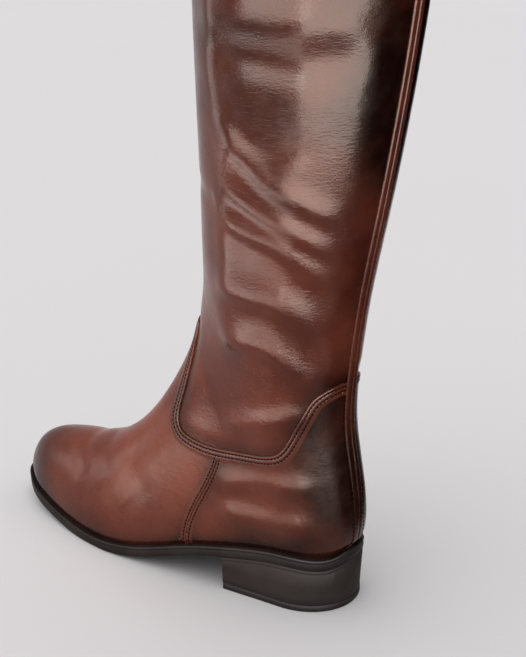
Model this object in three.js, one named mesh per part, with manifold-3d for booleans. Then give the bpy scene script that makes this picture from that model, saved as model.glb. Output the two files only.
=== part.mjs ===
// A knee-high riding boot for the left foot, women's EU 38 to 39, with a low block heel.
// Millimetres, +Z up, +X towards the toe, +Y to the wearer's left, which is the outer side.
// The origin is on the floor under the middle of the heel.
import * as THREE from "three";
import { mergeVertices } from "three/addons/utils/BufferGeometryUtils.js";
import Module from "manifold-3d";

const wasm = await Module();
wasm.setup();

// Driving sizes. The tables and curves below measure x from the back of the heel seat.
const HEEL_CENTRE_X = 39;
const WALL = 2; // upper leather with its lining
const GUSSET_WALL = 1.6; // elastic webbing with its lining
const GAP = 0.3; // left between pieces that meet
const SOLE_THICKNESS = 7.2;
const SOLE_EDGE = 2; // how far the sole stands out past the upper
const SOLE_BEVEL = 0.7;
const INSOLE_THICKNESS = 2.2;
const INSOLE_BEVEL = 0.8;
const INSOLE_MARGIN = 0.9; // from the inner wall of the upper to the insole's edge
const HEEL_BREAST_X = 77; // front face of the heel block
const HEEL_INSET = 1.4; // how far the heel block's top stands in from the sole's edge
const HEEL_TAPER = 1; // how much further in its bottom stands
const TOP_PIECE_THICKNESS = 4.2;
const TOE_SWING = 16; // how far the toe's tip lies towards the inner side
const SWING_START_X = 70;
const SWING_LENGTH = 200;

// The last and the leg, as sections that fan round from the toe to the collar. Each one is
// a straight line in the side view, from the ridge in front or on top (topX, topZ) to the
// feather edge or the back seam (lowX, lowZ). lateral and medial are its half widths, crown
// is the part of the line over which it rounds off to the ridge, and fullness is how square
// that rounding is. From the row at HEEL_ROW on, the low ends run up the back seam.
const SECTION_COLUMNS = ["topX", "topZ", "lowX", "lowZ", "lateral", "medial", "crown", "fullness"];
const SECTIONS = [
  [272, 18.8, 272, 18, 0, 0, 1, 2],
  [269.8, 29.8, 269.8, 17.6, 8.5, 9.5, 1, 2.1],
  [262.5, 41.5, 262.5, 16.2, 15.8, 18, 1, 2.2],
  [247.5, 50.8, 247.5, 13.6, 24.8, 28.5, 1, 2.2],
  [224.5, 56.5, 224, 10.1, 31.5, 38, 1, 2],
  [198.5, 62.5, 197, 7.6, 37, 43, 1, 1.9],
  [176, 73, 167, 7.6, 39.5, 41.5, 1, 1.8],
  [157.5, 88.5, 136, 13, 37, 37, 1, 1.7],
  [142.5, 107, 104, 23, 34, 34, 1, 1.7],
  [130.5, 126, 66, 32.2, 32, 32, 0.95, 1.8],
  [120.5, 146, 28, 36.9, 31, 31, 0.85, 1.9],
  [113.5, 166, 2.5, 38.9, 31.5, 31.5, 0.7, 2],
  [109, 186, 0.5, 72, 33, 33, 0.6, 2],
  [106.5, 206, 7, 110, 36, 36, 0.55, 2],
  [105, 227, 6.5, 146, 40, 39, 0.5, 2],
  [104, 256, 0, 196, 45, 44, 0.5, 2],
  [104.5, 294, -11, 254, 50, 50, 0.5, 2],
  [106, 352, -24.5, 334, 54.5, 54.5, 0.5, 2],
  [107.5, 415, -34.5, 415, 57, 57, 0.5, 2],
];
const HEEL_ROW = 11;
const LAST_ROW = SECTIONS.length - 1;

// How far forward of the back seam the plan outline rounds off, at each height.
const BACK_ROUNDING = [
  { z: 36, depth: 34 },
  { z: 110, depth: 40 },
  { z: 200, depth: 52 },
  { z: 415, depth: 68 },
];
const BACK_FULLNESS = 2.1;

// The seam between foot and shaft in the side view, from the back seam to the front ridge:
// high at the heel, low across the ankle and up to a rounded point on the shin.
const SHAFT_SEAM = [
  [-40, 147],
  [0, 146],
  [9, 144.5],
  [17, 138],
  [23, 127],
  [30, 111.5],
  [36, 102.5],
  [45, 98],
  [62, 94.5],
  [90, 91],
  [110, 92.5],
  [118, 97],
  [120, 104],
  [117, 122],
  [113.5, 144],
  [112, 158],
  [116, 170],
];

// The stretch gusset in the inner side of the shaft's top: its corners in the side view.
const GUSSET = { backX: 10, frontX: 55, bottomZ: 316, cornerRadius: 10 };

// A row of the section table at the fractional row number t, on a Catmull-Rom spline.
function sectionAt(t) {
  const i = Math.min(Math.floor(t), LAST_ROW - 1);
  const u = t - i;
  const section = {};
  SECTION_COLUMNS.forEach((column, c) => {
    const value = (row) => {
      if (row < 0) return 2 * SECTIONS[0][c] - SECTIONS[1][c];
      if (row > LAST_ROW) return 2 * SECTIONS[LAST_ROW][c] - SECTIONS[LAST_ROW - 1][c];
      return SECTIONS[row][c];
    };
    const [a, b, d, e] = [value(i - 1), value(i), value(i + 1), value(i + 2)];
    section[column] =
      b + 0.5 * u * (d - a + u * (2 * a - 5 * b + 4 * d - e + u * (3 * (b - d) + e - a)));
  });
  return section;
}

// Straight-line interpolation of y over x in a list sorted by x.
function interpolate(list, x, nameX, nameY) {
  const k = list.findIndex((item) => item[nameX] >= x);
  if (k === 0) return list[0][nameY];
  if (k < 0) return list[list.length - 1][nameY];
  const [p, q] = [list[k - 1], list[k]];
  return p[nameY] + ((q[nameY] - p[nameY]) * (x - p[nameX])) / (q[nameX] - p[nameX]);
}

const CURVE_STEPS = 160;
const steps = (from, to, count) =>
  Array.from({ length: count + 1 }, (_, i) => from + ((to - from) * i) / count);
const backSeam = steps(HEEL_ROW, LAST_ROW, CURVE_STEPS).map(sectionAt);
const featherEdge = steps(HEEL_ROW, 0, CURVE_STEPS).map(sectionAt);
const backX = (z) => interpolate(backSeam, z, "lowZ", "lowX");
const seatZ = (x) => interpolate(featherEdge, x, "lowX", "lowZ");
const centreY = (x) => -TOE_SWING * Math.max(0, (x - SWING_START_X) / SWING_LENGTH) ** 2;

// The outer surface: t runs from the toe to the collar, d from the ridge (0) to the low
// end (1), and side is +1 on the outer side and -1 on the inner side.
function surfacePoint(t, d, side) {
  const s = sectionAt(t);
  const x = s.topX + d * (s.lowX - s.topX);
  const z = s.topZ + d * (s.lowZ - s.topZ);
  const fromRidge = Math.max(0, 1 - d / s.crown) ** s.fullness;
  const depth = interpolate(BACK_ROUNDING, z, "z", "depth");
  const fromBack = 1 - Math.min(1, Math.max(0, (x - backX(z)) / depth));
  const rounding = Math.sqrt(1 - fromRidge) * Math.sqrt(1 - fromBack ** BACK_FULLNESS);
  const onBackSeam = d === 1 && t >= HEEL_ROW;
  const halfWidth = onBackSeam ? 0 : (side > 0 ? s.lateral : s.medial) * rounding;
  return new THREE.Vector3(x, centreY(x) + side * halfWidth, z);
}

// A geometry from a list of points and a list of triangles, with equal points merged.
function meshOf(points, triangles) {
  const geometry = new THREE.BufferGeometry().setFromPoints(points);
  geometry.setIndex(triangles.flat());
  return mergeVertices(geometry, 1e-3);
}

// A manifold solid from a merged geometry.
function solidOf(geometry) {
  const index = geometry.index.array;
  const triVerts = [];
  for (let i = 0; i < index.length; i += 3) {
    const [a, b, c] = [index[i], index[i + 1], index[i + 2]];
    if (a !== b && b !== c && c !== a) triVerts.push(a, b, c);
  }
  return new wasm.Manifold(
    new wasm.Mesh({
      numProp: 3,
      vertProperties: new Float32Array(geometry.attributes.position.array),
      triVerts: new Uint32Array(triVerts),
    }),
  );
}

// The geometry of a manifold solid.
function geometryOf(solid) {
  const { vertProperties, triVerts } = solid.getMesh();
  const geometry = new THREE.BufferGeometry();
  geometry.setAttribute("position", new THREE.BufferAttribute(vertProperties, 3));
  geometry.setIndex(new THREE.BufferAttribute(triVerts, 1));
  geometry.computeVertexNormals();
  return geometry;
}

// The whole boot above the sole as one hollow shell, open under the foot and at the collar.
// The inner surface stands a wall's thickness inside the outer one, along its normals.
function bootShell(wall) {
  const intoHeel = steps(1, 0, 8).map((u) => HEEL_ROW - 1.5 * u ** 2);
  const foot = [...steps(0, HEEL_ROW - 1.5, 19), ...intoHeel.slice(1)];
  const leg = [11.5, 12, 12.5, 13, 13.5, 14, 14.6, 15.3, 16, 16.6, 17.3, 18];
  const rows = [...foot, ...leg];
  const across = steps(0, 1, 12).map((u) => (1 - Math.cos(Math.PI * u)) / 2);
  const points = [];
  const triangles = [];
  const feather = [];
  const collar = [];
  for (const side of [1, -1]) {
    const first = points.length;
    const at = (i, j) => first + i * across.length + j;
    for (const t of rows) {
      for (const d of across) points.push(surfacePoint(t, d, side));
    }
    for (let i = 0; i + 1 < rows.length; i++) {
      for (let j = 0; j + 1 < across.length; j++) {
        const [a, b, c, e] = [at(i, j), at(i, j + 1), at(i + 1, j + 1), at(i + 1, j)];
        if (side > 0) triangles.push([a, b, c], [a, c, e]);
        else triangles.push([a, c, b], [a, e, c]);
      }
    }
    const low = across.length - 1;
    for (let i = 0; i + 1 < foot.length; i++) {
      feather.push(side > 0 ? [at(i + 1, low), at(i, low)] : [at(i, low), at(i + 1, low)]);
    }
    for (let j = 0; j < low; j++) {
      const top = rows.length - 1;
      collar.push(side > 0 ? [at(top, j), at(top, j + 1)] : [at(top, j + 1), at(top, j)]);
    }
  }
  const outer = meshOf(points, triangles);
  outer.computeVertexNormals();
  // Merging keeps the order of the triangles, which ties each point to its merged copy.
  const normal = outer.attributes.normal;
  const copies = new Map(triangles.flat().map((i, k) => [i, outer.index.getX(k)]));
  const onFeather = new Set(feather.flat());
  const onCollar = new Set(collar.flat());
  const inner = points.map((point, i) => {
    const n = new THREE.Vector3().fromBufferAttribute(normal, copies.get(i));
    if (onFeather.has(i) || onCollar.has(i)) n.setZ(0).normalize();
    const inside = point.clone().addScaledVector(n, -wall);
    return onFeather.has(i) ? inside.setZ(seatZ(inside.x)) : inside;
  });
  const count = points.length;
  const inside = triangles.map(([a, b, c]) => [a + count, c + count, b + count]);
  const rims = [...feather, ...collar].flatMap(([a, b]) => [
    [a, b, b + count],
    [a, b + count, a + count],
  ]);
  return solidOf(meshOf([...points, ...inner], [...triangles, ...inside, ...rims]));
}

// A solid with the given outline in the side view, from one y to another.
function sideCut(outline, fromY, toY) {
  const shape = new THREE.Shape(outline.map(([x, z]) => new THREE.Vector2(x, z)));
  const geometry = new THREE.ExtrudeGeometry(shape, { depth: toY - fromY, bevelEnabled: false });
  geometry.deleteAttribute("normal");
  geometry.deleteAttribute("uv");
  // The extrusion's depth becomes -Y.
  geometry.rotateX(Math.PI / 2);
  geometry.translate(0, toY, 0);
  return solidOf(mergeVertices(geometry, 1e-3));
}

// The plan outline of the feather edge, moved outwards, as pairs of points that face each
// other across the boot, from the toe's tip to the back of the heel.
function outlinePairs(outwards, count, fromX = Infinity) {
  const rows = steps(0, 1, count).map((u) => (HEEL_ROW * (1 - Math.cos(Math.PI * u))) / 2);
  const side = (sign) => {
    const edge = rows.map((t) => surfacePoint(t, 1, sign));
    return edge.map((point, i) => {
      const before = edge[Math.max(0, i - 1)];
      const after = edge[Math.min(edge.length - 1, i + 1)];
      const along = new THREE.Vector3().subVectors(after, before).setZ(0).normalize();
      if (i === 0) along.set(0, sign, 0);
      if (i === edge.length - 1) along.set(0, -sign, 0);
      const x = point.x + sign * along.y * outwards;
      return { x, y: point.y - sign * along.x * outwards };
    });
  };
  const [lateral, medial] = [side(1), side(-1)];
  const pairs = lateral.map((point, i) => [point, medial[i]]);
  const cut = pairs.filter(([a, b]) => Math.max(a.x, b.x) < fromX);
  if (cut.length < pairs.length) {
    const next = pairs[pairs.length - cut.length - 1];
    const atBreast = [0, 1].map((k) => {
      const [p, q] = [cut[0][k], next[k]];
      return { x: fromX, y: p.y + ((q.y - p.y) * (fromX - p.x)) / (q.x - p.x) };
    });
    cut.unshift(atBreast);
  }
  return cut;
}

// A slab between plan outlines given as rings of pairs, from the top ring to the bottom
// one. Each ring has its pairs and a height for each x.
function slab(rings) {
  const points = [];
  const triangles = [];
  const count = rings[0].pairs.length;
  const at = (ring, i, k) => 2 * (ring * count + i) + k;
  for (const { pairs, height } of rings) {
    for (const pair of pairs) {
      for (const { x, y } of pair) points.push(new THREE.Vector3(x, y, height(x)));
    }
  }
  const bottom = rings.length - 1;
  for (let i = 0; i + 1 < count; i++) {
    triangles.push([at(0, i, 0), at(0, i + 1, 0), at(0, i + 1, 1)]);
    triangles.push([at(0, i, 0), at(0, i + 1, 1), at(0, i, 1)]);
    triangles.push([at(bottom, i, 0), at(bottom, i + 1, 1), at(bottom, i + 1, 0)]);
    triangles.push([at(bottom, i, 0), at(bottom, i, 1), at(bottom, i + 1, 1)]);
  }
  for (let ring = 0; ring < bottom; ring++) {
    for (let i = 0; i + 1 < count; i++) {
      for (const k of [0, 1]) {
        const ends = [at(ring, i, k), at(ring, i + 1, k)];
        const [a, b] = k === 0 ? ends : ends.reverse();
        const drop = at(1, 0, 0) - at(0, 0, 0);
        triangles.push([a, a + drop, b + drop], [a, b + drop, b]);
      }
    }
    const [a, b] = [at(ring, 0, 1), at(ring, 0, 0)];
    const drop = at(1, 0, 0) - at(0, 0, 0);
    triangles.push([a, a + drop, b + drop], [a, b + drop, b]);
    const last = count - 1;
    const [e, f] = [at(ring, last, 0), at(ring, last, 1)];
    triangles.push([e, e + drop, f + drop], [e, f + drop, f]);
  }
  return solidOf(meshOf(points, triangles));
}

// The side-view outline of everything below a line that the seam is moved up or down by.
function belowSeam(offset) {
  const curve = new THREE.SplineCurve(SHAFT_SEAM.map(([x, z]) => new THREE.Vector2(x, z)));
  const line = curve.getPoints(64);
  const moved = line.map((point, i) => {
    const before = line[Math.max(0, i - 1)];
    const after = line[Math.min(line.length - 1, i + 1)];
    const along = new THREE.Vector2().subVectors(after, before).normalize();
    return [point.x - along.y * offset, point.y + along.x * offset];
  });
  const [endX, endZ] = moved[moved.length - 1];
  return [...moved, [endX + 12, endZ + 6], [320, endZ + 6], [320, -20], [-80, -20], [-80, 147 + offset]];
}

// The gusset's outline in the side view, grown all round by a margin.
function gussetOutline(margin) {
  const { backX: x0, frontX: x1, bottomZ, cornerRadius } = GUSSET;
  const r = cornerRadius + margin;
  const outline = [
    [x1 + margin, 500],
    [x0 - margin, 500],
  ];
  for (const u of steps(0, Math.PI / 2, 5)) {
    outline.push([x0 + cornerRadius - r * Math.cos(u), bottomZ + cornerRadius - r * Math.sin(u)]);
  }
  outline.push([x1 + margin, bottomZ - margin]);
  return outline;
}

const HALF_SPACE = 200; // wide enough to cut through the whole boot
const soleTop = (x) => seatZ(x) - GAP;
const soleBottom = (x) => Math.max(0, seatZ(x) - GAP - SOLE_THICKNESS);

function makeFootAndShaft() {
  const whole = bootShell(WALL);
  const foot = whole.intersect(sideCut(belowSeam(-GAP / 2), -HALF_SPACE, HALF_SPACE));
  const leg = whole.subtract(sideCut(belowSeam(GAP / 2), -HALF_SPACE, HALF_SPACE));
  const shaft = leg.subtract(sideCut(gussetOutline(GAP), -HALF_SPACE, 0));
  const gusset = bootShell(GUSSET_WALL).intersect(sideCut(gussetOutline(0), -HALF_SPACE, 0));
  return { foot, shaft, gusset };
}

function makeOutsole() {
  const full = outlinePairs(SOLE_EDGE, 48);
  const inset = outlinePairs(SOLE_EDGE - SOLE_BEVEL, 48);
  return slab([
    { pairs: inset, height: soleTop },
    { pairs: full, height: (x) => soleTop(x) - SOLE_BEVEL },
    { pairs: full, height: (x) => soleBottom(x) + SOLE_BEVEL },
    { pairs: inset, height: soleBottom },
  ]);
}

function makeInsole() {
  const full = outlinePairs(-WALL - INSOLE_MARGIN, 40);
  const inset = outlinePairs(-WALL - INSOLE_MARGIN - INSOLE_BEVEL, 40);
  return slab([
    { pairs: inset, height: (x) => seatZ(x) + INSOLE_THICKNESS },
    { pairs: full, height: (x) => seatZ(x) + INSOLE_THICKNESS - INSOLE_BEVEL },
    { pairs: full, height: seatZ },
  ]);
}

function makeHeel() {
  const top = outlinePairs(SOLE_EDGE - HEEL_INSET, 48, HEEL_BREAST_X);
  const bottom = outlinePairs(SOLE_EDGE - HEEL_INSET - HEEL_TAPER, 48, HEEL_BREAST_X);
  return slab([
    { pairs: top, height: (x) => soleBottom(x) - GAP },
    { pairs: bottom, height: () => TOP_PIECE_THICKNESS + GAP },
  ]);
}

function makeTopPiece() {
  const outline = outlinePairs(SOLE_EDGE - HEEL_INSET - HEEL_TAPER, 48, HEEL_BREAST_X);
  return slab([
    { pairs: outline, height: () => TOP_PIECE_THICKNESS },
    { pairs: outline, height: () => 0 },
  ]);
}

const boot = new THREE.Group();
boot.position.x = -HEEL_CENTRE_X;

function addPiece(name, solid, color, roughness) {
  const material = new THREE.MeshStandardMaterial({ color, roughness, metalness: 0 });
  const mesh = new THREE.Mesh(geometryOf(solid), material);
  mesh.name = name;
  boot.add(mesh);
}

const { foot, shaft, gusset } = makeFootAndShaft();
addPiece("upper", foot, "#6b3322", 0.34);
addPiece("shaft", shaft, "#5f2d20", 0.28);
addPiece("stretch_gusset", gusset, "#1d1f1c", 0.85);
addPiece("insole", makeInsole(), "#b08a63", 0.7);
addPiece("outsole", makeOutsole(), "#2a2523", 0.5);
addPiece("heel", makeHeel(), "#2e2a28", 0.42);
addPiece("heel_top_piece", makeTopPiece(), "#1f1c1b", 0.6);

export default boot;
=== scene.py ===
import math

import bmesh
import bpy
import numpy as np
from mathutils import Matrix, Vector


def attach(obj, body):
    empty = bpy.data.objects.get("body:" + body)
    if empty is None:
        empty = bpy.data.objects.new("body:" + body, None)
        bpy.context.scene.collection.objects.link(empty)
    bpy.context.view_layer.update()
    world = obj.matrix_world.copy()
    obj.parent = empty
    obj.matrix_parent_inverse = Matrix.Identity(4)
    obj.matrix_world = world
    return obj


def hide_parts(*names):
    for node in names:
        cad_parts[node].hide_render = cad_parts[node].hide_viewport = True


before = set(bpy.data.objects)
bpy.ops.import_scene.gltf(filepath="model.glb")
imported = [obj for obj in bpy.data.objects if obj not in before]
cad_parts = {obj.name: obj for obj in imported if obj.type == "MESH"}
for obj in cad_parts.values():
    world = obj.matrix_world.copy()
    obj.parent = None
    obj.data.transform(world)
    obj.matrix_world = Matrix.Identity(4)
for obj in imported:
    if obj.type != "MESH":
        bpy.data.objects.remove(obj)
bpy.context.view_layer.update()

# A knee-high riding boot for the left foot, put together in the order that it is made in:
# foot part, shaft, seams, back strips, gusset, collar, lining, insole, outsole and heel.
# Lengths are millimetres, with x from the back of the heel seat, until a mesh is made.

# ---------------------------------------------------------------------------- foot part
# The vamp and the two quarters: waxed calf, cut in three, closed at the side seams and
# pulled over the last. Its lower edge is tucked in under the insole, and the toe and the
# edges are burnished darker by hand. The same darkening also carries painted shade near
# the sole, along the back seam and over the quarters.

HEEL_CENTRE_X = 39  # where the frame's origin lies
TOE_SWING = 16  # how far the toe leans to the inner side
SWING_START_X = 70
SWING_LENGTH = 200
BACK_FULLNESS = 2.1  # how squarely the plan rounds off at the back
HEEL_ROW = 11  # the section at the back of the heel seat, where the back seam begins
# Sections that fan round from the toe to the collar: the ridge in front, the low end at the
# feather edge or the back seam, both half widths, and how the line rounds off to the ridge.
TOP_X, TOP_Z, LOW_X, LOW_Z, LATERAL, MEDIAL, CROWN, FULLNESS = range(8)
SECTIONS = np.array([
    [272, 18.8, 272, 18, 0, 0, 1, 2],
    [269.8, 29.8, 269.8, 17.6, 8.5, 9.5, 1, 2.1],
    [262.5, 41.5, 262.5, 16.2, 15.8, 18, 1, 2.2],
    [247.5, 50.8, 247.5, 13.6, 24.8, 28.5, 1, 2.2],
    [224.5, 56.5, 224, 10.1, 31.5, 38, 1, 2],
    [198.5, 62.5, 197, 7.6, 37, 43, 1, 1.9],
    [176, 73, 167, 7.6, 39.5, 41.5, 1, 1.8],
    [157.5, 88.5, 136, 13, 37, 37, 1, 1.7],
    [142.5, 107, 104, 23, 34, 34, 1, 1.7],
    [130.5, 126, 66, 32.2, 32, 32, 0.95, 1.8],
    [120.5, 146, 28, 36.9, 31, 31, 0.85, 1.9],
    [113.5, 166, 2.5, 38.9, 31.5, 31.5, 0.7, 2],
    [109, 186, 0.5, 72, 33, 33, 0.6, 2],
    [106.5, 206, 7, 110, 36, 36, 0.55, 2],
    [105, 227, 6.5, 146, 40, 39, 0.5, 2],
    [104, 256, 0, 196, 45, 44, 0.5, 2],
    [104.5, 294, -11, 254, 50, 50, 0.5, 2],
    [106, 352, -24.5, 334, 54.5, 54.5, 0.5, 2],
    [107.5, 415, -34.5, 415, 57, 57, 0.5, 2],
])
LAST_ROW = len(SECTIONS) - 1
BACK_ROUNDING_Z = [36, 110, 200, 415]
BACK_ROUNDING_DEPTH = [34, 40, 52, 68]


def bends(rows):
    """The second derivatives of a smooth curve through the rows; the toe's tip is round."""
    count = len(rows)
    left = np.zeros((count, count))
    right = np.zeros_like(rows)
    for i in range(1, count - 1):
        left[i, i - 1:i + 2] = 1, 4, 1
        right[i] = 6 * (rows[i - 1] - 2 * rows[i] + rows[i + 1])
    left[0, 0] = left[-1, -1] = 1
    found = np.linalg.solve(left, right)
    left[0, :2] = 2, 1
    right[0] = 6 * (rows[1] - rows[0])
    round_tip = np.linalg.solve(left, right)
    for column in (TOP_X, LOW_X):
        found[:, column] = round_tip[:, column]
    return found


SECTION_BENDS = bends(SECTIONS)


def section_at(t):
    """The section at fractional row numbers t."""
    t = np.clip(t, 0, LAST_ROW)
    i = np.minimum(t.astype(int), LAST_ROW - 1)
    u = (t - i)[..., None]
    v = 1 - u
    straight = v * SECTIONS[i] + u * SECTIONS[i + 1]
    return straight + ((v**3 - v) * SECTION_BENDS[i] + (u**3 - u) * SECTION_BENDS[i + 1]) / 6


FINE_ROWS = 3000
seam_rows = section_at(np.linspace(HEEL_ROW, LAST_ROW, FINE_ROWS))
seat_rows = section_at(np.linspace(HEEL_ROW, 0, FINE_ROWS))


def back_x(z):
    return np.interp(z, seam_rows[:, LOW_Z], seam_rows[:, LOW_X])


def seat_z(x):
    return np.interp(x, seat_rows[:, LOW_X], seat_rows[:, LOW_Z])


def centre_y(x):
    return -TOE_SWING * np.maximum(0, (x - SWING_START_X) / SWING_LENGTH) ** 2


NEARLY_ONE = 1 - 1e-9


def last_surface(t, theta):
    """Points on the smooth last: theta is 0 on the ridge, 1 and -1 at the low ends, outer and inner."""
    s = section_at(t)
    d = (1 - np.cos(np.pi * theta)) / 2
    x = s[..., TOP_X] + d * (s[..., LOW_X] - s[..., TOP_X])
    z = s[..., TOP_Z] + d * (s[..., LOW_Z] - s[..., TOP_Z])
    from_ridge = np.maximum(0, 1 - d / s[..., CROWN]) ** s[..., FULLNESS]
    depth = np.interp(z, BACK_ROUNDING_Z, BACK_ROUNDING_DEPTH)
    from_back = 1 - np.clip((x - back_x(z)) / depth, 0, 1)
    rounding = np.sqrt(1 - np.minimum(1, from_ridge)) * np.sqrt(1 - from_back**BACK_FULLNESS)
    width = np.where(theta > 0, s[..., LATERAL], s[..., MEDIAL]) * rounding
    width = np.where((d > NEARLY_ONE) & (t >= HEEL_ROW), 0, width)
    return np.stack([x, centre_y(x) + np.sign(theta) * width, z], -1)


PARAMETER_STEP = 2e-3
TOE_TIP_T = 0.02


def slopes(t, theta):
    """How the last's surface runs with t and with theta, by small differences."""
    before, after = np.clip(t - PARAMETER_STEP, 0, LAST_ROW), np.clip(t + PARAMETER_STEP, 0, LAST_ROW)
    along = (last_surface(after, theta) - last_surface(before, theta)) / (after - before)[..., None]
    low, high = np.clip(theta - PARAMETER_STEP, -1, 1), np.clip(theta + PARAMETER_STEP, -1, 1)
    around = (last_surface(t, high) - last_surface(t, low)) / (high - low)[..., None]
    return along, around


def unit(vectors):
    return vectors / np.maximum(1e-12, np.linalg.norm(vectors, axis=-1, keepdims=True))


def outward(t, theta):
    """Unit normals of the last's surface."""
    # At the toe's very tip the rows shrink to a point, so its normals are taken just behind it.
    along, around = slopes(np.maximum(t, TOE_TIP_T), theta)
    normal = np.cross(around, along)
    on_back_seam = (np.abs(theta) > NEARLY_ONE) & (t >= HEEL_ROW)
    normal[..., 1] = np.where(on_back_seam, 0, normal[..., 1])
    return unit(normal)


def smooth_step(low, high, value):
    u = np.clip((value - low) / (high - low), 0, 1)
    return u * u * (3 - 2 * u)


CURVE_STEPS = 24


def smooth_line(points, count):
    """A line through points, rounded, as count points at even distances."""
    points = np.array(points, float)
    ends = np.vstack([2 * points[0] - points[1], points, 2 * points[-1] - points[-2]])
    dense = []
    for i in range(len(points) - 1):
        a, b, c, e = ends[i:i + 4]
        for u in np.linspace(0, 1, CURVE_STEPS, endpoint=False):
            dense.append(b + 0.5 * u * (c - a + u * (2 * a - 5 * b + 4 * c - e + u * (3 * (b - c) + e - a))))
    dense = np.array(dense + [points[-1]])
    length = np.concatenate([[0], np.cumsum(np.linalg.norm(np.diff(dense, axis=0), axis=1))])
    at = np.linspace(0, length[-1], count)
    return np.stack([np.interp(at, length, dense[:, k]) for k in range(points.shape[1])], -1)


def beside(line, x, z):
    """Signed distance from a side-view line, positive to its left, and how far along it."""
    best = np.full(x.shape, 1e9)
    along = np.zeros(x.shape)
    sign = np.ones(x.shape)
    count = len(line) - 1
    for i in range(count):
        (ax, az), (bx, bz) = line[i], line[i + 1]
        dx, dz = bx - ax, bz - az
        u = ((x - ax) * dx + (z - az) * dz) / (dx * dx + dz * dz)
        clipped = np.clip(u, 0, 1)
        distance = np.hypot(x - ax - clipped * dx, z - az - clipped * dz)
        nearer = distance < best
        best = np.where(nearer, distance, best)
        along = np.where(nearer, (i + clipped) / count, along)
        sign = np.where(nearer, np.where(dx * (z - az) - dz * (x - ax) >= 0, 1.0, -1.0), sign)
    return best * sign, along


BOTH, OUTER, INNER = 0, 1, -1
# Creases and folds in the side view. Each row says how far the crest stands out, or in where
# it is below zero, how far it fades above and below its line, the boot's side, and the line
# from its front end to its back end.
FOLDS = [
    # The vamp bends behind the toe box and over the instep.
    (-1.1, 6, 8, BOTH, [(212, 66), (206, 52), (196, 38)]),
    (-0.6, 7, 7, OUTER, [(190, 74), (182, 58), (176, 46)]),
    (-0.4, 7, 9, OUTER, [(160, 62), (147, 53), (134, 45)]),
    (0.4, 9, 9, BOTH, [(172, 52), (160, 44), (150, 36)]),
    # The quarter bulges a little over the heel bone and below it.
    (1.8, 6.5, 6, BOTH, [(88, 70), (74, 73), (50, 79), (23, 82), (9, 88)]),
    (2.2, 8, 7, OUTER, [(84, 52), (70, 53), (43, 55), (23, 57), (12, 62)]),
    # The ankle's folds, from low in front of the heel to across the instep.
    (2.3, 7, 6, BOTH, [(84, 108), (60, 115), (31, 125), (14, 134)]),
    (2.0, 8, 6, OUTER, [(84, 168), (63, 168), (41, 169), (24, 156), (8, 142)]),
    # The shaft's drapes run down towards the back seam.
    (2.8, 12, 7, OUTER, [(78, 204), (57, 200), (34, 198), (18, 187), (2, 172)]),
    (2.0, 8, 5.5, OUTER, [(70, 247), (51, 239), (30, 233), (14, 219), (-2, 204)]),
    (1.6, 7, 5, OUTER, [(66, 265), (46, 255), (26, 245), (8, 233), (-6, 224)]),
    (1.6, 7, 5.5, OUTER, [(62, 292), (45, 279), (32, 267), (14, 257), (-8, 242)]),
    (-0.9, 22, 6, OUTER, [(86, 308), (62, 302), (45, 292), (28, 287), (3, 287)]),
    (-1.9, 12, 10, OUTER, [(84, 340), (50, 336), (18, 332), (0, 333), (-24, 340)]),
    (1.9, 11, 12, BOTH, [(84, 351), (46, 354), (20, 354), (0, 355), (-26, 359)]),
    (-0.6, 12, 9, BOTH, [(66, 392), (30, 386), (-24, 384)]),
    # A soft fold down the front of the shin, with a kink where the leather doubles.
    (1.3, 8, 9, OUTER, [(70, 398), (69, 352), (71, 316), (66, 302), (55, 286), (62, 270),
     (66, 245), (64, 222), (73, 196), (86, 166)]),
    (-0.7, 5, 6, BOTH, [(98, 262), (84, 252), (70, 254)]),
    # The inner side drapes alike, but not the same.
    (1.4, 8, 5, INNER, [(78, 186), (52, 176), (28, 160), (12, 146)]),
    (1.5, 10, 5, INNER, [(66, 216), (44, 204), (22, 184)]),
    (1.4, 9, 5, INNER, [(60, 250), (36, 238), (8, 214)]),
    (1.2, 10, 6, INNER, [(70, 290), (40, 276), (4, 248)]),
    (0.7, 7, 7, INNER, [(74, 372), (72, 320), (66, 280), (76, 226)]),
]
FOLD_LINE_POINTS = 14
FOLD_FADE = 0.2  # the part of a fold's length over which each end dies out
FOLD_SPREAD = 3  # how many widths from its line a fold still counts
FOLD_SIDE_BLEND = 6  # how softly a fold that is on one side ends towards the other
HELD_AT_BACK = (2, 20)  # the folds grow in between these distances from the back seam
HELD_AT_SEAT = (4, 16)  # and between these from the seat
SOLE_HOLDS_TO_Z = 60
FOLDS = [(*sizes, smooth_line(line, FOLD_LINE_POINTS)) for *sizes, line in FOLDS]


def folds_at(points):
    """How far the worn leather stands out from the last at these points."""
    x, y, z = np.moveaxis(points, -1, 0)
    height = np.zeros(x.shape)
    across = y - centre_y(x)
    # The back strips hold the leather flat beside the back seam, and the sole at the feather edge.
    held = smooth_step(*HELD_AT_BACK, x - back_x(z))
    held_low = held * smooth_step(*HELD_AT_SEAT, z - seat_z(x))
    held = np.where(z > SOLE_HOLDS_TO_Z, held, held_low)
    for crest, above, below, side, line in FOLDS:
        reach = FOLD_SPREAD * max(above, below)
        low, high = line.min(0) - reach, line.max(0) + reach
        near = (x > low[0]) & (x < high[0]) & (z > low[1]) & (z < high[1])
        if not near.any():
            continue
        distance, along = beside(line, x[near], z[near])
        # The lines run towards the back, so their left side is the lower one.
        width = np.where(distance > 0, below, above)
        share = smooth_step(0, FOLD_FADE, along) * smooth_step(0, FOLD_FADE, 1 - along)
        if side:
            share = share * (0.5 + 0.5 * np.tanh(side * across[near] / FOLD_SIDE_BLEND))
        height[near] += crest * share * np.exp(-((distance / width) ** 2))
    return height * held


TUCK = 1.5  # how far the lower edge draws in to the sole
TUCK_HEIGHT = 2.6


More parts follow.
